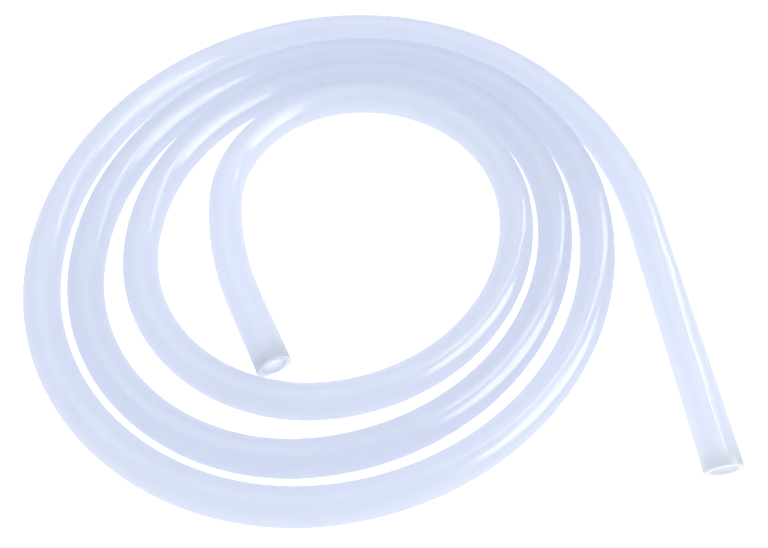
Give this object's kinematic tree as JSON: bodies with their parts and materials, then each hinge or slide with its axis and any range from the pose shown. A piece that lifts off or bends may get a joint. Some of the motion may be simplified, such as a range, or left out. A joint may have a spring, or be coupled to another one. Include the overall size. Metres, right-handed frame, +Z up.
{
  "type": "silicone tubing coil",
  "caption": "Length of soft hollow lab tubing lying flat in a loose spiral, with square-cut open ends, for carrying liquid or gas between fittings.",
  "frame": {"origin": "centre of the underside of the box around the whole coil, on the surface that it lies on", "axes": "+Z up out of that surface; the straight outer run points to -Y, at the +X side; the spiral turns anticlockwise inwards seen from above"},
  "size_m": [0.169, 0.1606, 0.009],
  "materials": {
    "silicone": "smooth, milky translucent, softly glossy"
  },
  "bodies": {
    "root": {"tubing": "silicone"}
  },
  "joints": []
}
